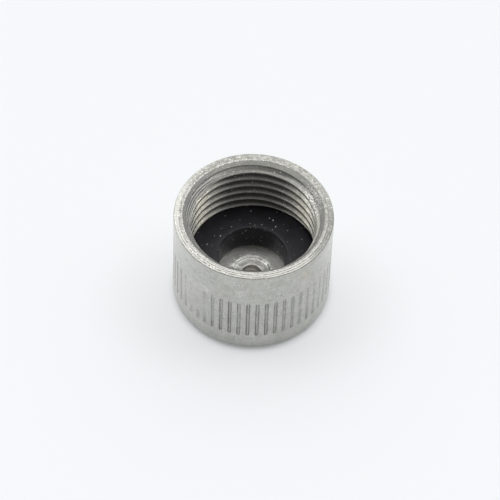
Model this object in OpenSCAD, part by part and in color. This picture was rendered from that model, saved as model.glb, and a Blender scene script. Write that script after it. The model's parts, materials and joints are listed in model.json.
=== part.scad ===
// Large-bore tyre valve cap: a die-cast metal shell with a ring of grip flutes,
// and the thick rubber washer that seals against the valve mouth.
// The cap stands on its closed end, mouth up. Millimetres, origin at the centre of the closed end.

/* [Shell] */
// Outside diameter of the shell
shell_d = 14.6; // [14:0.1:18]
// Height of the shell, from the closed end to the rim
shell_h = 10.6; // [9.6:0.1:16]
// Thickness of the closed end
closed_end_t = 2.1; // [1.6:0.1:3]
// Rounding of the edge round the closed end
foot_edge_r = 0.6; // [0.1:0.05:1]
// Rounding of the rim's outer edge
rim_edge_r = 0.15; // [0.05:0.05:0.4]

/* [Threaded bore] */
// Diameter across the thread crests, which is the bore's wall
crest_d = 11.4; // [11:0.05:11.7]
// Radial depth of the thread, and of the relief that runs out below it
thread_depth = 0.5; // [0.3:0.05:0.7]
// Diameter of the countersink at the rim
countersink_d = 13; // [11.8:0.1:13.3]
// Depth of the countersink
countersink_h = 0.85; // [0.2:0.05:1]

/* [Floor] */
// Diameter of the shallow step in the middle of the floor
step_d = 3.6; // [2.8:0.1:5]
// Depth of that step
step_h = 0.12; // [0.05:0.01:0.3]
// Diameter of the blind centre dimple
dimple_d = 1.9; // [1:0.1:2.4]
// Depth of the dimple's straight wall below the step
dimple_h = 0.8; // [0.2:0.05:1]
// Depth of the cone at the dimple's end
dimple_point_h = 0.3; // [0.1:0.05:0.4]

/* [Grip flutes] */
// Number of flutes round the shell
flute_count = 54; // [24:1:60]
// Width of a flute at the shell's surface
flute_w = 0.32; // [0.24:0.01:0.5]
// Depth of a flute
flute_depth = 0.16; // [0.08:0.01:0.25]
// Height of the plain band under the flutes
foot_band_h = 2.1; // [1.2:0.05:3]
// Height of the plain collar above the flutes
collar_h = 3.75; // [2:0.05:4.4]
// Angle of the first flute, from the X axis
flute_phase = 1.9; // [0:0.1:6.6]

/* [Sealing washer] */
// Thickness of the washer
washer_t = 2.7; // [1.6:0.1:3]
// Diameter of the washer's hole
washer_hole_d = 6.3; // [4.4:0.1:7]
// Rounding of the hole's upper edge
washer_lip_r = 0.15; // [0.05:0.05:0.4]
// Gap all round between the washer and its pocket
washer_gap = 0.1; // [0.05:0.01:0.15]
// Gap between the washer's top and the thread's last turn
washer_headroom = 0.1; // [0.05:0.01:0.3]

/* [Hidden] */

shell_r = shell_d / 2;
crest_r = crest_d / 2;
relief_r = crest_r + thread_depth;
countersink_r = countersink_d / 2;
countersink_z = shell_h - countersink_h;
step_r = step_d / 2;
step_z = closed_end_t - step_h;
dimple_r = dimple_d / 2;
dimple_z = step_z - dimple_h;

washer_r = relief_r - washer_gap;
washer_hole_r = washer_hole_d / 2;
washer_top = closed_end_t + washer_t;
relief_top = washer_top + washer_headroom;
// The washer's flat face clears the crests by as much again as the washer clears its pocket
washer_face_r = crest_r - washer_gap;
washer_shoulder_r = washer_r - washer_face_r;

// A flute is a round groove: the radius that gives both its width and its depth, and where its axis lies
flute_r = (pow(flute_w / 2, 2) + pow(flute_depth, 2)) / (2 * flute_depth);
flute_axis_r = shell_r - flute_depth + flute_r;
flute_low = foot_band_h + flute_r;
flute_high = shell_h - collar_h - flute_r;

// How far a cutting shape runs past the surface that it cuts
over = 0.5;

shell_color = [0.66, 0.66, 0.63];
washer_color = [0.12, 0.12, 0.13];

// What a rounding takes off a square corner: the corner is at the origin, its material up and to the left
module corner_off(r) {
    difference() {
        translate([-r, -over])
            square([r + over, r + over]);
        translate([-r, r])
            circle(r, $fn = 48);
    }
}

// Half section of the shell's outside
module shell_outline() {
    difference() {
        square([shell_r, shell_h]);
        translate([shell_r, 0])
            corner_off(foot_edge_r);
        translate([shell_r, shell_h])
            mirror([0, 1])
                corner_off(rim_edge_r);
    }
}

// Half section of everything hollow, from the dimple up to the open mouth
module cavity_outline() {
    polygon([
        [0, dimple_z - dimple_point_h],
        [dimple_r, dimple_z],
        [dimple_r, step_z],
        [step_r - step_h, step_z],
        [step_r, closed_end_t],
        [relief_r, closed_end_t],
        [relief_r, relief_top],
        [crest_r, relief_top],
        [crest_r, countersink_z],
        [countersink_r, shell_h],
        [countersink_r, shell_h + over],
        [0, shell_h + over]
    ]);
}

// One upright groove with ball-shaped ends
module flute() {
    translate([flute_axis_r, 0, flute_low])
        cylinder(r = flute_r, h = flute_high - flute_low, $fn = 24);
    for (end_z = [flute_low, flute_high]) {
        translate([flute_axis_r, 0, end_z])
            sphere(r = flute_r, $fn = 24);
    }
}

module flute_ring() {
    for (i = [0 : flute_count - 1]) {
        rotate([0, 0, flute_phase + i * 360 / flute_count])
            flute();
    }
}

module cap_shell() {
    color(shell_color)
        difference() {
            rotate_extrude($fn = 180)
                difference() {
                    shell_outline();
                    cavity_outline();
                }
            flute_ring();
        }
}

// Moulded ring: its upper outer edge is rounded to pass the last turn of the thread
module sealing_washer() {
    color(washer_color)
        rotate_extrude($fn = 120)
            difference() {
                translate([washer_hole_r, closed_end_t])
                    square([washer_r - washer_hole_r, washer_t]);
                translate([washer_r, washer_top])
                    mirror([0, 1])
                        corner_off(washer_shoulder_r);
                translate([washer_hole_r, washer_top])
                    rotate(180)
                        corner_off(washer_lip_r);
            }
}

cap_shell();
sealing_washer();
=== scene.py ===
import json
import math

import bmesh
import bpy
from mathutils import Matrix, Vector, noise


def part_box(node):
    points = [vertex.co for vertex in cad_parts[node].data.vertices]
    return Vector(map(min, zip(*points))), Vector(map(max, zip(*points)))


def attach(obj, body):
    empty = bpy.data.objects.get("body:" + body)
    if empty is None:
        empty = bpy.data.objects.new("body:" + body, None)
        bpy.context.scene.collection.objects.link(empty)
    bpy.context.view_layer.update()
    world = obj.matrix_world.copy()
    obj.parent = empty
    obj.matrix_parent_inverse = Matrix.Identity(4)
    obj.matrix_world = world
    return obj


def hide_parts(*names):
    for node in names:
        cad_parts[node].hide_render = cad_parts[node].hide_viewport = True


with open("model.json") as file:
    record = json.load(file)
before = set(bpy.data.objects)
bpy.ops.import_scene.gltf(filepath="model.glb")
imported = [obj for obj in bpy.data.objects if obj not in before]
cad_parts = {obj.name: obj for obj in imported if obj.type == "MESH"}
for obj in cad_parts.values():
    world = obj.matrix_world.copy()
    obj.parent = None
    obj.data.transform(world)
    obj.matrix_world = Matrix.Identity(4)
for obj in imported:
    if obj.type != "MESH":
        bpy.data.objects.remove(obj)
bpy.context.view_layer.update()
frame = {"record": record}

mm = 0.001
fullTurn = 2 * math.pi


# Sizes that the frame already knows
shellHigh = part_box("cap_shell")[1]
washerLow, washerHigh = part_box("sealing_washer")
shellRadius = shellHigh.x / mm
rimZ = shellHigh.z / mm
floorZ = washerLow.z / mm
washerTopZ = washerHigh.z / mm
washerRadius = washerHigh.x / mm
boreMount = next(m for m in frame["record"]["mounts"] if m["name"] == "thread")
crestRadius = boreMount["dims"]["r_mm"]
boreLength = boreMount["dims"]["length_mm"]
boreLowZ = boreMount["pos_m"][2] / mm - boreLength / 2
boreHighZ = boreLowZ + boreLength
print("frame read: shell", round(2 * shellRadius, 2), "mm across,", round(rimZ, 2), "mm high")


# Mesh helpers

def ringAt(bm, radius, z, count, start=0.0):
    ring = []
    for i in range(count):
        angle = start + fullTurn * i / count
        ring.append(bm.verts.new((radius * math.cos(angle), radius * math.sin(angle), z)))
    return ring


def raggedRing(bm, radius, z, count, swing, lift):  # the same with an uneven, chipped run
    ring = ringAt(bm, radius, z, count)
    for vert in ring:
        vert.co.z += lift * noise.noise(vert.co * 2.3)
        wave = noise.noise(vert.co * 1.7) + 0.6 * noise.noise(vert.co * 5)
        vert.co.xy *= 1 + swing * wave / radius
    return ring


def skinRings(bm, lower, upper):  # two rings with as many points as each other
    count = len(lower)
    for i in range(count):
        k = (i + 1) % count
        bm.faces.new((lower[i], lower[k], upper[k], upper[i]))


def turnOf(vert):  # angle round the axis, from 0 to a full turn
    return math.atan2(vert.co.y, vert.co.x) % fullTurn


def zipRings(bm, first, second):  # rings with any number of points: the one that lags takes the next step
    a = sorted(first, key=turnOf)
    b = sorted(second, key=turnOf)
    i = j = 0
    while i < len(a) or j < len(b):
        nextA = turnOf(a[i + 1]) if i + 1 < len(a) else fullTurn + turnOf(a[0])
        nextB = turnOf(b[j + 1]) if j + 1 < len(b) else fullTurn + turnOf(b[0])
        stepA = j == len(b) or (i < len(a) and nextA <= nextB)
        here, there = a[i % len(a)], b[j % len(b)]
        if stepA:
            i += 1
            bm.faces.new((here, there, a[i % len(a)]))
        else:
            j += 1
            bm.faces.new((here, there, b[j % len(b)]))


def closeWithPoint(bm, ring, z):  # fan to the axis
    tip = bm.verts.new((0, 0, z))
    for i in range(len(ring)):
        bm.faces.new((ring[i], ring[(i + 1) % len(ring)], tip))


def arcPoints(centreR, centreZ, radius, fromDeg, toDeg, steps):
    points = []
    for i in range(steps + 1):
        angle = math.radians(fromDeg + (toDeg - fromDeg) * i / steps)
        points.append((centreR + radius * math.cos(angle), centreZ + radius * math.sin(angle)))
    return points


def makePiece(name, bm, sharpDeg):
    bmesh.ops.recalc_face_normals(bm, faces=bm.faces[:])
    bm.transform(Matrix.Scale(mm, 4))
    mesh = bpy.data.meshes.new(name)
    bm.to_mesh(mesh)
    bm.free()
    for face in mesh.polygons:
        face.use_smooth = True
    mesh.set_sharp_from_angle(angle=math.radians(sharpDeg))
    piece = bpy.data.objects.new(name, mesh)
    bpy.context.scene.collection.objects.link(piece)
    facesAt = {}
    for face in mesh.polygons:
        for key in face.edge_keys:
            facesAt[key] = facesAt.get(key, 0) + 1
    unclosed = sum(1 for count in facesAt.values() if count != 2)
    triangles = sum(len(face.vertices) - 2 for face in mesh.polygons)
    print(name, "made:", triangles, "triangles,", unclosed, "open edges")
    return piece


# Cast shell

shell = {
    "footRound": 0.6,
    "rimRound": 0.15,
    "fluteCount": 54,
    "fluteStart": 1.9,  # degrees
    "fluteRadius": 0.16,
    "fluteWorn": ((-134, 18, 0.95), (-28, 26, 0.5)),  # where the mould had filled up: degrees, spread, share
    "fluteLow": 2.1,
    "fluteHigh": 6.85,
    "castWaves": 0.02,  # how far the skin dips between its high spots
}

# Columns round one flute, in degrees from its middle: close together over its walls
fluteColumns = (-1.45, -1.2, -0.9, -0.5, 0, 0.5, 0.9, 1.2, 1.45, 2.2, 3.33, 4.46)

# Bruises on the skin: angle in degrees, height, width, depth
bruises = [
    (-139, 2.9, 0.3, 0.07),
    (-130, 3.0, 0.35, 0.08),
    (-119, 2.6, 0.28, 0.06),
    (-112, 3.7, 0.22, 0.04),
    (-46, 3.9, 0.25, 0.05),
    (-12, 6.1, 0.3, 0.06),
    (-92, 9.0, 0.25, 0.03),
    (-105, 8.6, 0.3, 0.03),
    (35, 4.4, 0.3, 0.06),
    (96, 7.9, 0.4, 0.04),
    (148, 3.1, 0.3, 0.05),
]


def fluteDepth(angle, z):
    spacing = fullTurn / shell["fluteCount"]
    offset = (angle - math.radians(shell["fluteStart"])) / spacing
    number = round(offset)
    across = (offset - number) * spacing * shellRadius
    radius = shell["fluteRadius"]
    middle = (shell["fluteLow"] + shell["fluteHigh"]) / 2
    straight = (shell["fluteHigh"] - shell["fluteLow"]) / 2 - radius
    past = max(0.0, abs(z - middle) - straight)
    share = math.hypot(across, past) / radius
    if share >= 1:
        return 0.0
    own = 0.85 + 0.3 * noise.noise(Vector((number % shell["fluteCount"] * 1.7, 3.1, 0.4)))
    silted = noise.noise(Vector((math.cos(angle) * 9, math.sin(angle) * 9, z * 0.9)))
    keep = max(0.0, min(1.0, own + 0.35 * silted))
    for wornDeg, spreadDeg, wornShare in shell["fluteWorn"]:
        away = (math.degrees(angle) - wornDeg + 180) % 360 - 180
        keep *= 1 - wornShare * math.exp(-(away / spreadDeg) ** 2) * min(1.0, max(0.3, (z - 1.5) / 3))
    return radius * math.sqrt(1 - share * share) * keep


def skinDip(angle, z):  # uneven casting, only ever inwards so that the size stays
    place = Vector((math.cos(angle), math.sin(angle), z / shellRadius))
    broad = noise.noise(place * 6) * 0.5 + 0.5
    close = noise.noise(place * 21 + Vector((5, 1, 8))) * 0.5 + 0.5
    dip = shell["castWaves"] * (0.6 * broad + 0.4 * close)
    for bruiseDeg, bruiseZ, width, depth in bruises:
        along = (math.degrees(angle) - bruiseDeg + 180) % 360 - 180
        away = math.hypot(math.radians(along) * shellRadius, z - bruiseZ) / width
        if away < 1.6:
            dip += depth * math.exp(-3 * away * away)
    return dip


def outsideRows():  # radius and height up the outside, from the foot's flat to the rim's flat
    foot = shell["footRound"]
    rim = shell["rimRound"]
    rows = arcPoints(shellRadius - foot, foot, foot, -90, 0, 8)
    heights = [0.85, 1.2, 1.55, 1.85]
    low, high = shell["fluteLow"], shell["fluteHigh"]
    heights += [low - 0.05, low, low + 0.04, low + 0.1, low + 0.18, low + 0.3]
    straightRows = 16
    step = (high - low - 0.6) / straightRows
    heights += [low + 0.3 + step * i for i in range(1, straightRows)]
    heights += [high - 0.3, high - 0.18, high - 0.1, high - 0.04, high, high + 0.05]
    collarRows = 14
    step = (rimZ - rim - high - 0.05) / collarRows
    heights += [high + 0.05 + step * i for i in range(1, collarRows)]
    rows += [(shellRadius, z) for z in heights]
    rows += arcPoints(shellRadius - rim, rimZ - rim, rim, 0, 90, 5)
    return rows


# Thread: right hand, 60 degree flanks, root a little wider than a knife edge
thread = {
    "pitch": 0.977,
    "depth": 0.5,
    "rootFlat": 0.2,
    "corner": 0.03,
    "topRootDrop": 0.445,  # from the rim down to the first root's middle, at the back of the cap
    "columns": 324,
}
mouth = {"radius": 6.5, "edge": 0.05}
relief = {"radius": 6.22, "slope": 5.2}  # runs out below the last turn and holds the washer
rootRadius = crestRadius + thread["depth"]


def threadSteps():  # distances from a root's middle to the next crest's middle, and the radius at each
    flank = math.tan(math.radians(30))
    corner = thread["corner"]
    rootEdge = thread["rootFlat"] / 2
    crestEdge = rootEdge + thread["depth"] * flank
    half = thread["pitch"] / 2
    eased = corner * 0.43  # how far a rounded corner falls short of the sharp one
    steps = [(0, rootRadius), (rootEdge - corner, rootRadius)]
    steps.append((rootEdge, rootRadius - eased))
    steps.append((rootEdge + corner, rootRadius - corner / flank))
    steps.append(((rootEdge + crestEdge) / 2, (rootRadius + crestRadius) / 2))
    steps.append((crestEdge - corner, crestRadius + corner / flank))
    steps.append((crestEdge, crestRadius + eased))
    steps.append((crestEdge + corner, crestRadius))
    steps.append((half, crestRadius))
    return steps


threadShape = threadSteps()


def rootHeight(angle):  # height of the first root's middle at this angle
    return rimZ - thread["topRootDrop"] + thread["pitch"] * (angle - math.pi / 2) / fullTurn


def threadRadius(angle, z):
    pitch = thread["pitch"]
    turns = (z - rootHeight(angle)) / pitch
    away = abs(turns - round(turns)) * pitch
    for (nearAt, nearR), (farAt, farR) in zip(threadShape, threadShape[1:]):
        if away <= farAt:
            return nearR + (farR - nearR) * (away - nearAt) / (farAt - nearAt)
    return crestRadius


def countersinkRadius(z):
    slope = (mouth["radius"] - crestRadius) / (rimZ - boreHighZ)
    edgeShare = max(0.0, 1 - (rimZ - z) / mouth["edge"])
    return mouth["radius"] - (rimZ - z) * slope + 0.7 * mouth["edge"] * edgeShare ** 2


def reliefRadius(z):
    return min(relief["radius"], crestRadius + (boreLowZ - z) * relief["slope"])


# The bore's wall is laid out flat as a ring, with its height running outwards.
# Level cuts in it then follow curves on the wall.
spread = 10.0


def placeOf(vert):
    return math.atan2(vert.co.y, vert.co.x), math.hypot(vert.co.x, vert.co.y) - spread


def cutWhere(bm, measure, dropBelow=False, dropAbove=False):
    for vert in bm.verts:
        angle, z = placeOf(vert)
        vert.co.z = measure(angle, z)
    everything = [*bm.verts, *bm.edges, *bm.faces]
    bmesh.ops.bisect_plane(bm, geom=everything, dist=0.003, plane_co=(0, 0, 0), plane_no=(0, 0, 1),
                           clear_inner=dropBelow, clear_outer=dropAbove)
    for vert in bm.verts:
        vert.co.z = 0


def threadedWall(lowZ):
    wall = bmesh.new()
    columns = thread["columns"]
    pitch = thread["pitch"]
    offsets = [away for away, radius in threadShape]
    offsets += [pitch - away for away, radius in reversed(threadShape[1:-1])]
    perTurn = len(offsets)
    firstTurn = math.ceil((rimZ - lowZ) / pitch) + 1
    startZ = rootHeight(0) - firstTurn * pitch
    rows = (firstTurn + 2) * perTurn
    grid = []
    for i in range(columns):
        angle = fullTurn * i / columns
        climb = pitch * i / columns
        column = []
        for j in range(rows):
            reach = spread + startZ + climb + pitch * (j // perTurn) + offsets[j % perTurn]
            column.append(wall.verts.new((reach * math.cos(angle), reach * math.sin(angle), 0)))
        grid.append(column)
    for i in range(columns):
        last = i == columns - 1
        right = grid[0][perTurn:] if last else grid[i + 1]  # one turn on, the rows meet the next ones up
        for j in range(len(right) - 1):
            wall.faces.new((grid[i][j], right[j], right[j + 1], grid[i][j + 1]))
    cutWhere(wall, lambda angle, z: z - lowZ, dropBelow=True)
    cutWhere(wall, lambda angle, z: z - rimZ, dropAbove=True)
    for level in (mouth["edge"], mouth["edge"] / 2):
        cutWhere(wall, lambda angle, z: z - (rimZ - level))
    reliefFoot = boreLowZ - (relief["radius"] - crestRadius) / relief["slope"]
    cutWhere(wall, lambda angle, z: z - reliefFoot)
    cutWhere(wall, lambda angle, z: threadRadius(angle, z) - countersinkRadius(z) if z > rimZ - 1.5 else 1)
    cutWhere(wall, lambda angle, z: threadRadius(angle, z) - reliefRadius(z) if z < lowZ + 1.5 else 1)
    bmesh.ops.delete(wall, geom=[v for v in wall.verts if not v.link_faces], context="VERTS")
    for vert in wall.verts:
        angle, z = placeOf(vert)
        for level in (lowZ, rimZ):
            z = level if abs(z - level) < 0.004 else z
        radius = max(threadRadius(angle, z), countersinkRadius(z), reliefRadius(z))
        vert.co = (radius * math.cos(angle), radius * math.sin(angle), z)
    return wall


# Floor of the shell, seen through the washer
floorShape = {
    "stepRadius": 1.8,
    "stepDepth": 0.12,
    "dimpleRadius": 0.95,
    "dimpleDepth": 0.8,
    "tipDepth": 0.3,
    "cornerRound": 0.15,  # between the floor and the relief's wall
}


def makeShell():
    reliefLow = boreLowZ - 0.25
    bm = threadedWall(reliefLow)
    loose = {v for edge in bm.edges if edge.is_boundary for v in edge.verts}
    mouthRing = [v for v in loose if v.co.z > (rimZ + reliefLow) / 2]
    reliefRing = [v for v in loose if v.co.z < (rimZ + reliefLow) / 2]

    # outside, foot to rim
    spacing = 360 / shell["fluteCount"]
    angles = []
    for i in range(shell["fluteCount"]):
        for offset in fluteColumns:
            angles.append(math.radians(shell["fluteStart"] + i * spacing + offset))
    previous = None
    rings = []
    for radius, z in outsideRows():
        # 1 on the wall, 0 at the rim's flat
        wallShare = (radius - shellRadius + shell["rimRound"]) / shell["rimRound"]
        ring = []
        for angle in angles:
            r = radius
            if wallShare > 0:
                r -= (fluteDepth(angle, z) + skinDip(angle, z)) * min(1, wallShare)
            ring.append(bm.verts.new((r * math.cos(angle), r * math.sin(angle), z)))
        if previous:
            skinRings(bm, previous, ring)
        previous = ring
        rings.append(ring)
    footRing, rimRing = rings[0], rings[-1]
    zipRings(bm, rimRing, mouthRing)

    # closed end
    inner = ringAt(bm, 6, 0, 324)
    zipRings(bm, footRing, inner)
    for radius, count in ((4, 162), (2, 81)):
        ring = ringAt(bm, radius, 0, count)
        zipRings(bm, inner, ring)
        inner = ring
    closeWithPoint(bm, inner, 0)

    # relief wall, floor, step and dimple
    f = floorShape
    stepZ = floorZ - f["stepDepth"]
    dimpleZ = stepZ - f["dimpleDepth"]
    corner = f["cornerRound"]
    outline = [(relief["radius"], reliefLow - 0.4), (relief["radius"], floorZ + corner)]
    outline += arcPoints(relief["radius"] - corner, floorZ + corner, corner, 0, -90, 3)[1:]
    outline += [(5, floorZ), (3.4, floorZ), (2.7, floorZ), (2.3, floorZ), (2.05, floorZ)]
    step = f["stepRadius"]
    outline += [(step + 0.12, floorZ), (step + 0.05, floorZ - 0.01), (step, floorZ - 0.04)]
    outline += [(step - 0.08, stepZ + 0.02), (step - 0.16, stepZ), (1.45, stepZ), (1.25, stepZ)]
    outline += [(f["dimpleRadius"] + 0.12, stepZ)]
    outline += [(f["dimpleRadius"] + 0.04, stepZ - 0.015), (f["dimpleRadius"], stepZ - 0.05)]
    outline += [(f["dimpleRadius"] - 0.01, dimpleZ + 0.4), (f["dimpleRadius"] - 0.04, dimpleZ + 0.12)]
    outline += [(f["dimpleRadius"] - 0.14, dimpleZ - 0.02), (0.45, dimpleZ - f["tipDepth"] * 0.6)]
    ring = ringAt(bm, *outline[0], thread["columns"])
    zipRings(bm, reliefRing, ring)
    for radius, z in outline[1:]:
        count = thread["columns"] if radius > 3.5 else 162
        ragged = 1.2 < radius < 2.4
        following = raggedRing(bm, radius, z, count, 0.07, 0.03) if ragged else ringAt(bm, radius, z, count)
        if count == len(ring):
            skinRings(bm, ring, following)
        else:
            zipRings(bm, ring, following)
        ring = following
    closeWithPoint(bm, ring, dimpleZ - f["tipDepth"])
    return makePiece("cast_shell", bm, 40)


# Rubber washer

washer = {
    "holeRadius": 3.15,
    "lip": 0.15,
    "shoulder": 0.5,
    "foot": 0.12,
    "columns": 180,
}


def makeWasher():
    w = washer
    outline = arcPoints(w["holeRadius"] + w["foot"], floorZ + w["foot"], w["foot"], 270, 180, 3)
    outline += [(w["holeRadius"], floorZ + rise) for rise in (0.7, 1.4, 2.1)]
    outline += arcPoints(w["holeRadius"] + w["lip"], washerTopZ - w["lip"], w["lip"], 180, 90, 5)
    outline += [(3.7, washerTopZ), (4.3, washerTopZ), (4.9, washerTopZ)]
    outline += arcPoints(washerRadius - w["shoulder"], washerTopZ - w["shoulder"], w["shoulder"], 90, 0, 8)
    outline += [(washerRadius, floorZ + 1.2)]
    outline += arcPoints(washerRadius - w["foot"], floorZ + w["foot"], w["foot"], 0, -90, 3)
    bm = bmesh.new()
    rings = []
    for radius, z in outline:
        ring = []
        for i in range(w["columns"]):
            angle = fullTurn * i / w["columns"]
            place = Vector((math.cos(angle) * radius, math.sin(angle) * radius, z))
            swell = 0.02 * noise.noise(place * 0.5) if 3.3 < radius < 5.9 and z > floorZ + 1 else 0
            place.z -= abs(swell)
            ring.append(bm.verts.new(place))
        rings.append(ring)
    for k in range(len(rings)):
        skinRings(bm, rings[k], rings[(k + 1) % len(rings)])
    return makePiece("rubber_washer", bm, 50)


# Material helpers: a tree is built by naming each node's kind, its settings and what feeds its inputs

def newMaterial(name):
    material = bpy.data.materials.new(name)
    material.use_nodes = True
    tree = material.node_tree
    tree.nodes.clear()
    return material, tree


def addNode(tree, kind, inputs=None, **settings):
    node = tree.nodes.new(kind)
    for key, value in settings.items():
        setattr(node, key, value)
    for key, value in (inputs or {}).items():
        if isinstance(value, bpy.types.NodeSocket):
            tree.links.new(value, node.inputs[key])
        else:
            node.inputs[key].default_value = value
    return node


def mathNode(tree, operation, first, second=0.0, clamp=False):
    node = addNode(tree, "ShaderNodeMath", {0: first, 1: second}, operation=operation, use_clamp=clamp)
    return node.outputs[0]


def band(tree, value, fromLow, fromHigh, toLow=0.0, toHigh=1.0):  # smooth ramp between two values
    node = addNode(tree, "ShaderNodeMapRange", {
        "Value": value, "From Min": fromLow, "From Max": fromHigh, "To Min": toLow, "To Max": toHigh,
    }, interpolation_type="SMOOTHSTEP")
    return node.outputs["Result"]


def mixColour(tree, share, under, over, blend="MIX"):
    node = addNode(tree, "ShaderNodeMix", data_type="RGBA", blend_type=blend)
    for socket, value in ((node.inputs[0], share), (node.inputs[6], under), (node.inputs[7], over)):
        if isinstance(value, bpy.types.NodeSocket):
            tree.links.new(value, socket)
        else:
            socket.default_value = value
    return node.outputs[2]


def placeInMm(tree):  # object coordinates in millimetres
    coords = addNode(tree, "ShaderNodeTexCoord")
    scaled = addNode(tree, "ShaderNodeVectorMath", {
        0: coords.outputs["Object"], "Scale": 1 / mm,
    }, operation="SCALE")
    return scaled.outputs["Vector"]


def noiseAt(tree, place, perMm, detail=2.0, rough=0.5):
    node = addNode(tree, "ShaderNodeTexNoise", {
        "Vector": place, "Scale": perMm, "Detail": detail, "Roughness": rough,
    })
    return node.outputs["Fac"]


def shifted(tree, place, offset):  # another part of the same pattern
    return addNode(tree, "ShaderNodeVectorMath", {0: place, 1: offset}).outputs[0]


def specksAt(tree, place, perMm, share, size):  # dots in some cells only, each with a strength of its own
    cells = addNode(tree, "ShaderNodeTexVoronoi", {"Vector": place, "Scale": perMm}, feature="F1")
    pick = addNode(tree, "ShaderNodeSeparateColor", {"Color": cells.outputs["Color"]})
    chosen = mathNode(tree, "LESS_THAN", pick.outputs["Red"], share)
    reach = mathNode(tree, "MULTIPLY", pick.outputs["Green"], size)
    inside = mathNode(tree, "LESS_THAN", cells.outputs["Distance"], reach)
    strength = band(tree, pick.outputs["Blue"], 0, 0.7, 0.4, 1)
    return mathNode(tree, "MULTIPLY", mathNode(tree, "MULTIPLY", chosen, inside), strength)


# Cast zinc, grey and slightly warm

metal = {
    "grey": (0.42, 0.42, 0.385, 1),
    "light": (0.52, 0.52, 0.485, 1),
    # dull tone, also used as painted shade towards the foot and at the thread's far sides
    "dull": (0.32, 0.32, 0.295, 1),
    "green": (0.42, 0.432, 0.37, 1),
    "pink": (0.455, 0.425, 0.405, 1),
    "turned": (0.21, 0.21, 0.19, 1),  # rim
    "newest": (0.5, 0.495, 0.465, 1),  # rim's front: painted highlight on the turned lines
    "fresh": (0.86, 0.85, 0.81, 1),  # chips, scuffs and bright flecks, and painted highlights on the collar's sides, the countersink's back and the floor
    "bright": (0.48, 0.48, 0.455, 1),  # floor's ring, as a painted highlight, and the flute lands
    "cut": (0.3, 0.3, 0.29, 1),  # countersink, laid on darker at the front and sides than at the back as painted shade
    "film": (0.25, 0.245, 0.25, 1),  # purple grey, painted shade on the far turns of the thread
    "grease": (0.145, 0.145, 0.134, 1),  # darker on the right hand side of the rim
    "warm": (0.65, 0.63, 0.525, 1),  # warm tint on the thread, laid on its left and right flanks as a painted highlight
    # dark dirt, dents and tool lines, also used as painted shade in the thread's roots, the flutes and
    # between the rim's turned lines
    "grime": (0.045, 0.04, 0.036, 1),
    "glint": (0.98, 0.97, 0.93, 1),
    "stain": (0.4, 0.34, 0.25, 1),
    "reliefDepth": 0.014,
    "ringPitch": 0.23,  # between the turned lines on the rim
    "cutPitch": 0.16,  # between the fine cuts on the left of the mouth
    "arcPitch": 0.15,  # between the bright arcs on the floor
    "coat": 1.0,  # thin oily skin that brightens the grazing sides
}


def chain(tree, operation, values):
    result = values[0]
    for value in values[1:]:
        result = mathNode(tree, operation, result, value)
    return result


def product(tree, *values):
    return chain(tree, "MULTIPLY", values)


def total(tree, *values):
    return chain(tree, "ADD", values)


def largest(tree, *values):
    return chain(tree, "MAXIMUM", values)


def spotAt(tree, place, centre, reach):  # 1 at a point on the surface, fading out round it
    away = addNode(tree, "ShaderNodeVectorMath", {0: place, 1: centre}, operation="DISTANCE")
    return band(tree, away.outputs["Value"], reach, 0.0)


def onSkin(degrees, z, radius=None):  # a point on the outside, by its angle and height
    radius = radius or shellRadius
    angle = math.radians(degrees)
    return (radius * math.cos(angle), radius * math.sin(angle), z)


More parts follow.
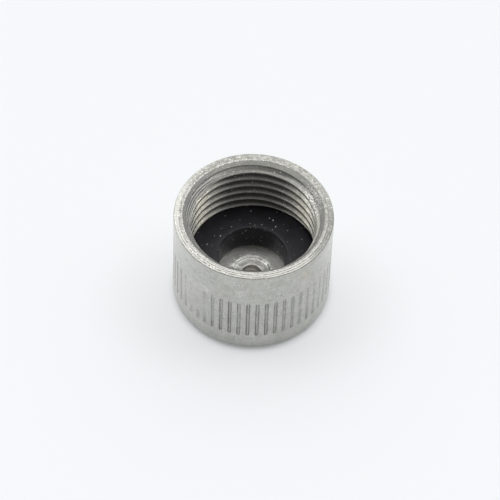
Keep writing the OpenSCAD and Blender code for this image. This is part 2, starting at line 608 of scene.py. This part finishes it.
def makeMetal():
    material, tree = newMaterial("castZinc")
    place = placeInMm(tree)
    axes = addNode(tree, "ShaderNodeSeparateXYZ", {0: place})
    x, y, z = axes.outputs
    radius = mathNode(tree, "SQRT", total(tree, product(tree, x, x), product(tree, y, y)))
    angle = mathNode(tree, "ARCTAN2", y, x)

    # where on the shell: rim flat, countersink, thread, floor, outside
    onRim = band(tree, z, rimZ - 0.06, rimZ - 0.02)
    outside = band(tree, radius, shellRadius - 0.55, shellRadius - 0.45)
    inBore = product(tree, band(tree, radius, mouth["radius"] + 0.12, mouth["radius"] + 0.06),
                     band(tree, z, boreLowZ - 0.3, boreLowZ - 0.1), band(tree, onRim, 1.0, 0.0))
    onCone = product(tree, inBore, band(tree, z, boreHighZ - 0.2, boreHighZ + 0.05))
    onThread = product(tree, inBore, band(tree, z, boreHighZ + 0.05, boreHighZ - 0.2))
    onFloor = product(tree, band(tree, radius, 4.0, 3.8), band(tree, z, floorZ + 0.3, floorZ + 0.1))
    sideways = mathNode(tree, "ABSOLUTE", x)
    inFront = band(tree, y, 1.5, -5.0)

    # colour: broad patches, mottling, fine grain
    patches = noiseAt(tree, place, 0.5, 3)
    mottle = noiseAt(tree, place, 2.4, 5, 0.62)
    grain = noiseAt(tree, place, 9, 3, 0.7)
    hues = noiseAt(tree, shifted(tree, place, (31, 7, 12)), 0.45, 1)
    colour = metal["grey"]

    def paint(share, name):  # lays one of the metal's colours over what is there
        nonlocal colour
        colour = mixColour(tree, share, colour, metal[name])

    paint(band(tree, patches, 0.45, 0.7, 0, 0.55), "light")
    paint(band(tree, hues, 0.52, 0.68, 0, 0.6), "green")
    paint(band(tree, hues, 0.45, 0.3, 0, 0.6), "pink")
    blotches = noiseAt(tree, shifted(tree, place, (3, 18, 5)), 1.2, 4, 0.65)
    paint(product(tree, outside, band(tree, blotches, 0.51, 0.59, 0, 0.6)), "light")
    paint(product(tree, outside, band(tree, blotches, 0.47, 0.38, 0, 0.45)), "dull")
    calm = band(tree, outside, 0, 1, 1, 0.85)  # the outside is smoother than the cut faces
    paint(product(tree, calm, band(tree, mottle, 0.5, 0.74, 0, 0.6)), "dull")
    paint(product(tree, calm, band(tree, mottle, 0.47, 0.3, 0, 0.45)), "light")
    gathered = band(tree, noiseAt(tree, place, 0.7, 2), 0.42, 0.62, 0.25, 1)
    grainy = product(tree, outside, gathered)
    paint(product(tree, grainy, band(tree, grain, 0.5, 0.58)), "light")
    paint(product(tree, grainy, band(tree, grain, 0.49, 0.41)), "dull")
    paint(product(tree, onRim, band(tree, mottle, 0.7, 0.4)), "turned")
    # painted shade: the countersink darker at the front and sides, lighter at the back
    paint(product(tree, onCone, band(tree, y, 4.0, 6.0, 0.85, 0.1)), "cut")
    # painted highlight: the thread's left and right flanks lighter and warmer
    warmSideHighlight = product(tree, onThread, band(tree, sideways, 1.5, 3.8, 0.15, 0.9),
                     band(tree, mottle, 0.75, 0.35, 0.6, 1))
    paint(warmSideHighlight, "warm")
    # painted shade: the thread darker at the far left and right
    paint(product(tree, onThread, band(tree, sideways, 5.0, 5.6, 0, 0.8)), "dull")
    # painted shade: the far turns of the thread darker
    far = product(tree, onThread, band(tree, y, 3.2, 5.2))
    paint(mathNode(tree, "MULTIPLY", far, 0.6), "film")
    chips = noiseAt(tree, place, 6.5, 3, 0.75)
    knocked = product(tree, inBore, spotAt(tree, place, (5.1, 2.7, boreHighZ), 3.0))
    # chips knocked into the thread, and the back of the countersink painted lighter as a highlight
    chipsAndConeHighlight = mathNode(tree, "MAXIMUM", product(tree, knocked, band(tree, chips, 0.48, 0.56, 0.15, 1)),
                    product(tree, onCone, band(tree, y, 1.5, 5.0, 0, 0.15)))
    paint(chipsAndConeHighlight, "fresh")
    dents = total(tree, product(tree, knocked, 0.55),
                  product(tree, onThread, band(tree, sideways, 1, 4, 0.05, 0.2)))
    paint(product(tree, dents, band(tree, chips, 0.49, 0.44)), "grime")
    stain = product(tree, spotAt(tree, place, onSkin(-48, 9.1), 1.3), band(tree, mottle, 0.3, 0.6))
    paint(mathNode(tree, "MULTIPLY", stain, 0.6), "stain")
    smear = mathNode(tree, "MAXIMUM", spotAt(tree, place, onSkin(-125, 7.2), 0.8),
                     mathNode(tree, "MULTIPLY", spotAt(tree, place, onSkin(-98, 8.3), 0.8), 0.5))
    paint(product(tree, smear, band(tree, mottle, 0.65, 0.4), 0.5), "fresh")
    # painted highlight: the collar's left and right sides lighter, the left side more
    sideHighlight = product(tree, outside, band(tree, z, 7.6, 9.6), band(tree, sideways, 5.5, 7.1, 0, 0.25))
    paint(sideHighlight, "fresh")
    paint(product(tree, outside, band(tree, x, -3.5, -6.0, 0, 0.15)), "fresh")
    # painted shade: the outside darker towards the foot
    footShade = product(tree, outside, band(tree, z, 1.9, 0.4, 0, 0.45))
    paint(footShade, "dull")
    # painted highlight: a lighter ring on the floor round the dimple
    shine = product(tree, onFloor, band(tree, mottle, 0.7, 0.4), band(tree, radius, 1.1, 1.6))
    paint(shine, "bright")
    # painted light: the floor's outer part and the dimple laid on lighter against the shade round them
    lit = product(tree, onFloor, mathNode(tree, "MAXIMUM", band(tree, radius, 2.3, 3.2, 0, 0.4),
                                          band(tree, z, floorZ - 0.3, floorZ - 0.8, 0, 0.5)))
    paint(lit, "fresh")
    # the rim's outer part laid on darker on the right hand side
    rightRimDarker = product(tree, spotAt(tree, place, onSkin(-6, rimZ), 7.0),
                     band(tree, mottle, 0.3, 0.55, 0.3, 0.9), onRim,
                     band(tree, radius, mouth["radius"] + 0.18, mouth["radius"] + 0.3))
    paint(rightRimDarker, "grease")

    # tool marks: lines round the rim and the floor, chatter across the countersink
    wander = mathNode(tree, "MULTIPLY", patches, 2.5)
    rings = mathNode(tree, "SINE", total(tree, product(tree, radius, fullTurn / metal["ringPitch"]), wander))
    broken = band(tree, noiseAt(tree, place, 5.5, 3, 0.75), 0.4, 0.56, 0.1, 1)
    # the turned lines are real tool marks; their light and dark bands are painted highlight and painted
    # shade, stronger on the front
    rings = product(tree, rings, onRim, broken, band(tree, inFront, 0, 1, 0.25, 1))
    # painted highlight: the light bands on the front of the rim
    rimFrontHighlight = product(tree, onRim, inFront, band(tree, rings, -0.6, 0.3), band(tree, rightRimDarker, 0.6, 0.0))
    paint(mathNode(tree, "MULTIPLY", rimFrontHighlight, 0.75), "newest")
    # painted shade: the dark bands between the turned lines
    paint(product(tree, band(tree, rings, 0.1, -0.9), 0.6), "grime")
    lines = addNode(tree, "ShaderNodeCombineXYZ", {
        0: product(tree, radius, 8.0), 1: product(tree, x, 0.35), 2: product(tree, y, 0.35),
    })
    turning = product(tree, noiseAt(tree, lines.outputs[0], 1.0, 4, 0.7), largest(tree, onRim, onFloor))
    cuts = mathNode(tree, "SINE", total(tree, product(tree, z, fullTurn / metal["cutPitch"]),
                                        product(tree, angle, -6.0), wander))
    cuts = product(tree, cuts, inBore,
                   band(tree, z, rimZ - 2.6, rimZ - 1.6), band(tree, z, rimZ - 0.2, rimZ - 0.5),
                   band(tree, spotAt(tree, place, (-5.6, 0.6, rimZ - 0.5), 6.4), 0.1, 0.5),
                   band(tree, mottle, 0.3, 0.55, 0.3, 1))
    paint(product(tree, band(tree, cuts, 0.1, 0.8), 0.65), "grime")
    paint(product(tree, band(tree, cuts, 0.0, -0.8), 0.5), "fresh")
    arcs = mathNode(tree, "SINE", total(tree, product(tree, radius, fullTurn / metal["arcPitch"]), wander))
    arcs = product(tree, arcs, onFloor, band(tree, radius, 2.3, 1.9), band(tree, radius, 1.0, 1.15),
                   band(tree, noiseAt(tree, place, 7, 3, 0.75), 0.47, 0.57))
    # the floor's turning arcs painted as glints
    paint(product(tree, band(tree, arcs, 0.1, 0.8), 0.8), "glint")

    # flutes: a dark line of painted shade down each wall, darker on one wall and fainter towards the sides,
    # broken where the mould was worn, and lighter lands between
    spacing = fullTurn / shell["fluteCount"]
    fromStart = mathNode(tree, "SUBTRACT", angle, math.radians(shell["fluteStart"]))
    turns = mathNode(tree, "DIVIDE", fromStart, spacing)
    number = mathNode(tree, "ROUND", turns)
    across = product(tree, mathNode(tree, "SUBTRACT", turns, number), spacing * shellRadius)
    off = mathNode(tree, "ABSOLUTE", across)
    alongFlute = addNode(tree, "ShaderNodeVectorMath", {0: place, 1: (3.0, 3.0, 0.8)}, operation="MULTIPLY")
    drawn = noiseAt(tree, alongFlute.outputs[0], 1.0, 3, 0.6)
    amongFlutes = product(tree, outside, band(tree, z, shell["fluteHigh"] + 0.05, shell["fluteHigh"] - 0.1),
                          band(tree, z, shell["fluteLow"] - 0.05, shell["fluteLow"] + 0.1))
    moulded = band(tree, spotAt(tree, place, onSkin(shell["fluteWorn"][0][0], 4.2), 3.6), 0.1, 0.8, 1, 0.12)
    wallShade = product(tree, band(tree, off, 0.05, 0.1), band(tree, off, 0.17, 0.13), amongFlutes, moulded,
                       band(tree, drawn, 0.3, 0.55, 0.15, 1), band(tree, sideways, 5.5, 2.5, 0.4, 1),
                       band(tree, across, 0.02, -0.02, 0.55, 1))
    land = product(tree, band(tree, off, 0.17, 0.22), amongFlutes, band(tree, drawn, 0.42, 0.62))
    paint(mathNode(tree, "MULTIPLY", land, 0.45), "bright")
    paint(product(tree, amongFlutes, band(tree, drawn, 0.42, 0.28, 0, 0.35)), "dull")

    # dirt and painted shade in the thread's roots, where it is a thin line at the sides, and painted shade
    # in the flutes
    rootward = mathNode(tree, "SUBTRACT", radius, band(tree, sideways, 2.2, 4.0, 0, 0.2))
    inRoots = product(tree, inBore, band(tree, rootward, crestRadius + 0.05, crestRadius + 0.32, 0, 0.85),
                      band(tree, z, rimZ - 0.25, rimZ - 0.8), band(tree, knocked, 0, 0.6, 1, 0.3))
    inFlutes = product(tree, outside, band(tree, radius, shellRadius - 0.04, shellRadius - 0.12, 0, 0.2),
                       band(tree, z, shell["fluteHigh"] + 0.35, shell["fluteHigh"] + 0.15),
                       band(tree, z, shell["fluteLow"] - 0.3, shell["fluteLow"] - 0.1))
    inFlutes = mathNode(tree, "MAXIMUM", inFlutes, mathNode(tree, "MULTIPLY", wallShade, 0.85))
    dirtAndShade = mathNode(tree, "MAXIMUM", inRoots, inFlutes)
    paint(dirtAndShade, "grime")

    # pits, and glints: painted highlights of tiny bright facets, most of them on the turned and threaded
    # parts
    pits = addNode(tree, "ShaderNodeTexVoronoi", {"Vector": place, "Scale": 1.9}, feature="F1")
    pitDepth = band(tree, pits.outputs["Distance"], 0.16, 0.04)
    paint(mathNode(tree, "MULTIPLY", pitDepth, 0.35), "grime")
    dots = product(tree, specksAt(tree, place, 3.1, 0.7, 0.3), gathered)
    flecks = product(tree, specksAt(tree, shifted(tree, place, (9, 4, 2)), 3.6, 0.8, 0.25), gathered)
    paint(mathNode(tree, "MULTIPLY", dots, 0.45), "grime")
    paint(mathNode(tree, "MULTIPLY", flecks, 0.7), "glint")
    often = largest(tree, onRim, onFloor, inBore)
    fine = product(tree, specksAt(tree, place, 5.2, 0.6, 0.36), band(tree, often, 0, 1, 0.15, 0.8))
    coarse = product(tree, specksAt(tree, place, 1.9, 0.3, 0.14), band(tree, outside, 0, 1, 1, 0.4))
    sparkle = product(tree, specksAt(tree, place, 6.5, 0.5, 0.5), onRim,
                      band(tree, x, 4.0, -4.0, 0.15, 0.75))
    edgeBand = product(tree, band(tree, radius, mouth["radius"] - 0.1, mouth["radius"]),
                       band(tree, radius, mouth["radius"] + 0.12, mouth["radius"] + 0.04),
                       band(tree, z, rimZ - 0.2, rimZ - 0.1))
    edge = product(tree, edgeBand, band(tree, chips, 0.46, 0.55, 0.05, 0.8), band(tree, x, 1, 4, 1, 0.5))
    bits = product(tree, knocked, specksAt(tree, place, 3.0, 0.5, 0.35))
    glints = product(tree, largest(tree, fine, sparkle, bits, coarse, edge),
                     mathNode(tree, "SUBTRACT", 1.0, dirtAndShade))
    paint(mathNode(tree, "MULTIPLY", glints, 0.75), "glint")

    height = total(tree, product(tree, grain, 1.2), product(tree, mottle, 1.4),
                   product(tree, pitDepth, -0.6), product(tree, turning, 2.0), product(tree, rings, 0.7),
                   product(tree, cuts, -1.0), product(tree, glints, 0.6))
    bump = addNode(tree, "ShaderNodeBump", {
        "Height": height, "Strength": 1.0, "Distance": metal["reliefDepth"] * mm,
    })
    rough = band(tree, mottle, 0.3, 0.7, 0.36, 0.5)
    rough = mathNode(tree, "SUBTRACT", rough, product(tree, mathNode(tree, "MAXIMUM", onRim, onFloor), 0.08))
    rough = total(tree, rough, product(tree, onCone, 0.15),
                  product(tree, edgeBand, band(tree, x, 1, 4, 0.15, 0.3)))
    shader = addNode(tree, "ShaderNodeBsdfPrincipled", {
        "Base Color": colour, "Metallic": 0.8, "Roughness": rough,
        "Coat Weight": band(tree, onRim, 0, 1, metal["coat"], 0.4), "Coat Roughness": 0.35,
        "Normal": bump.outputs["Normal"],
    })
    out = addNode(tree, "ShaderNodeOutputMaterial")
    tree.links.new(shader.outputs[0], out.inputs["Surface"])
    return material


# Black rubber with dust on it

rubber = {
    "black": (0.012, 0.0112, 0.0145, 1),
    "sheen": (0.019, 0.0175, 0.023, 1),
    "wall": (0.046, 0.041, 0.048, 1),  # painted sheen: lighter and browner inside the hole
    "dust": (0.95, 0.92, 0.9, 1),
}


def makeRubber():
    material, tree = newMaterial("blackRubber")
    place = placeInMm(tree)
    axes = addNode(tree, "ShaderNodeSeparateXYZ", {0: place})
    x, y = axes.outputs[:2]
    radius = mathNode(tree, "SQRT", total(tree, product(tree, x, x), product(tree, y, y)))
    cloud = noiseAt(tree, place, 0.8, 3)
    grain = noiseAt(tree, place, 14, 2)
    colour = mixColour(tree, band(tree, cloud, 0.4, 0.7), rubber["black"], rubber["sheen"])
    gathered = band(tree, noiseAt(tree, place, 0.6, 2), 0.4, 0.6, 0.3, 1)
    dust = mathNode(tree, "MAXIMUM", specksAt(tree, place, 1.9, 0.85, 0.14),
                    product(tree, specksAt(tree, place, 2.9, 0.35, 0.22), gathered))
    # painted sheen on the hole's wall
    wall = band(tree, radius, washer["holeRadius"] + 0.1, washer["holeRadius"] + 0.02)
    colour = mixColour(tree, mathNode(tree, "MULTIPLY", wall, 0.6), colour, rubber["wall"])
    colour = mixColour(tree, dust, colour, rubber["dust"])
    height = total(tree, product(tree, grain, 0.5), product(tree, cloud, 2.0))
    bump = addNode(tree, "ShaderNodeBump", {"Height": height, "Strength": 0.6, "Distance": 0.01 * mm})
    rough = band(tree, cloud, 0.3, 0.7, 0.42, 0.55)
    shader = addNode(tree, "ShaderNodeBsdfPrincipled", {
        "Base Color": colour, "Roughness": rough, "Specular IOR Level": 0.35,
        "Normal": bump.outputs["Normal"],
    })
    out = addNode(tree, "ShaderNodeOutputMaterial")
    tree.links.new(shader.outputs[0], out.inputs["Surface"])
    return material


# Pieces

castShell = makeShell()
castShell.data.materials.append(makeMetal())
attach(castShell, "root")
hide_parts("cap_shell")

rubberWasher = makeWasher()
rubberWasher.data.materials.append(makeRubber())
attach(rubberWasher, "root")
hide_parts("sealing_washer")
print("pieces dressed")


# Table top: bright white, so that the shadow on it stays light to the eye and in what the metal mirrors

table = {"side": 900, "colour": (0.87, 0.885, 0.9, 1), "ownLight": (0.915, 0.931, 0.948, 1), "lift": 0.5}


def makeTable():
    bm = bmesh.new()
    bmesh.ops.create_grid(bm, x_segments=8, y_segments=8, size=table["side"] / 2 * mm)
    mesh = bpy.data.meshes.new("table_top")
    bm.to_mesh(mesh)
    bm.free()
    top = bpy.data.objects.new("table_top", mesh)
    bpy.context.scene.collection.objects.link(top)
    material, tree = newMaterial("whiteTable")
    matt = addNode(tree, "ShaderNodeBsdfDiffuse", {"Color": table["colour"], "Roughness": 0.7})
    glow = addNode(tree, "ShaderNodeEmission", {"Color": table["ownLight"], "Strength": 1.0})
    ray = addNode(tree, "ShaderNodeLightPath")
    seen = largest(tree, ray.outputs["Is Camera Ray"], ray.outputs["Is Glossy Ray"],
                   ray.outputs["Is Transmission Ray"])
    near = addNode(tree, "ShaderNodeAmbientOcclusion", {"Distance": 0.9 * mm}, samples=8)
    contact = band(tree, near.outputs["AO"], 0.45, 0.9, 0.25, 1)  # painted contact shadow: darker right under the foot's rounding
    share = product(tree, seen, contact, table["lift"])
    both = addNode(tree, "ShaderNodeMixShader", {0: share, 1: matt.outputs[0], 2: glow.outputs[0]})
    out = addNode(tree, "ShaderNodeOutputMaterial")
    tree.links.new(both.outputs[0], out.inputs["Surface"])
    mesh.materials.append(material)


makeTable()


# Light: a white tent, brighter overhead and behind, and open where the viewer stands.
# A soft panel stands at each hand.

light = {
    "panels": (  # name, side, place, watts
        ("leftPanel", 180, (-200, 60, 400), 0.25),
        ("rightPanel", 180, (200, 60, 400), 0.25),
    ),
    "near": (0.2, 0.2, 0.2, 1),
    "far": (1.75, 1.75, 1.75, 1),
    "roof": (1.8, 1.8, 1.8, 1),
    "roofFacing": (0, 0.6, 0.8),
    "sides": (0.7, 0.7, 0.7, 1),
    "card": (1.5, 1.5, 1.5, 1),  # low on the near side
    "opening": (0.3, 0.3, 0.3, 1),
    "openingFacing": (0, -0.62, 0.785),
}


def towards(tree, facing, way):  # 1 straight that way, falling off to the sides
    node = addNode(tree, "ShaderNodeVectorMath", {0: facing, 1: way}, operation="DOT_PRODUCT")
    return node.outputs["Value"]


def makeLight():
    for name, side, place, watts in light["panels"]:
        panel = bpy.data.lights.new(name, "AREA")
        panel.shape = "SQUARE"
        panel.size = side * mm
        panel.energy = watts
        lamp = bpy.data.objects.new(name, panel)
        lamp.location = Vector(place) * mm
        lamp.rotation_euler = Vector(place).to_track_quat("Z", "Y").to_euler()
        bpy.context.scene.collection.objects.link(lamp)

    world = bpy.data.worlds.new("studio")
    bpy.context.scene.world = world
    world.use_nodes = True
    tree = world.node_tree
    tree.nodes.clear()
    facing = addNode(tree, "ShaderNodeTexCoord").outputs["Generated"]
    axes = addNode(tree, "ShaderNodeSeparateXYZ", {0: facing})
    toRoof = towards(tree, facing, light["roofFacing"])
    toOpening = towards(tree, facing, light["openingFacing"])
    sky = mixColour(tree, band(tree, axes.outputs[1], -0.5, 0.5), light["near"], light["far"])
    sky = mixColour(tree, band(tree, toRoof, 0.6, 0.85), sky, light["roof"])
    onSides = product(tree, band(tree, mathNode(tree, "ABSOLUTE", axes.outputs[0]), 0.5, 0.75),
                      band(tree, axes.outputs[2], 0.6, 0.4))
    sky = mixColour(tree, onSides, sky, light["sides"])
    onNear = product(tree, band(tree, axes.outputs[1], -0.5, -0.8), band(tree, axes.outputs[2], 0.35, 0.2))
    sky = mixColour(tree, onNear, sky, light["card"])
    sky = mixColour(tree, band(tree, toOpening, 0.72, 0.85), sky, light["opening"])
    background = addNode(tree, "ShaderNodeBackground", {"Color": sky, "Strength": 1.0})
    out = addNode(tree, "ShaderNodeOutputWorld")
    tree.links.new(background.outputs[0], out.inputs["Surface"])


makeLight()


# Camera, placed as the photograph was taken

view = {
    "elevation": 52.3,  # degrees above the table
    "distance": 262.8,
    "widthSeen": 46.03,  # how much the picture spans at the cap
    "roll": 2.2,
    "shiftLeft": 0.221,
    "shiftUp": 0.101,
}


def makeCamera():
    data = bpy.data.cameras.new("camera")
    data.sensor_width = 36
    data.lens = data.sensor_width * view["distance"] / view["widthSeen"]
    data.clip_start = 0.01
    data.clip_end = 10
    camera = bpy.data.objects.new("camera", data)
    bpy.context.scene.collection.objects.link(camera)
    target = Vector((0, 0, rimZ / 2))
    tilt = math.radians(view["elevation"])
    away = Vector((0, -math.cos(tilt), math.sin(tilt)))
    roll = Matrix.Rotation(math.radians(view["roll"]), 4, "Z")
    turn = away.to_track_quat("Z", "Y").to_matrix().to_4x4() @ roll
    slide = turn @ Vector((-view["shiftLeft"], view["shiftUp"], 0))
    camera.matrix_world = Matrix.Translation((target + away * view["distance"] + slide) * mm) @ turn
    bpy.context.scene.camera = camera


makeCamera()
bpy.context.scene.view_settings.view_transform = "Standard"
print("table, light and camera set")
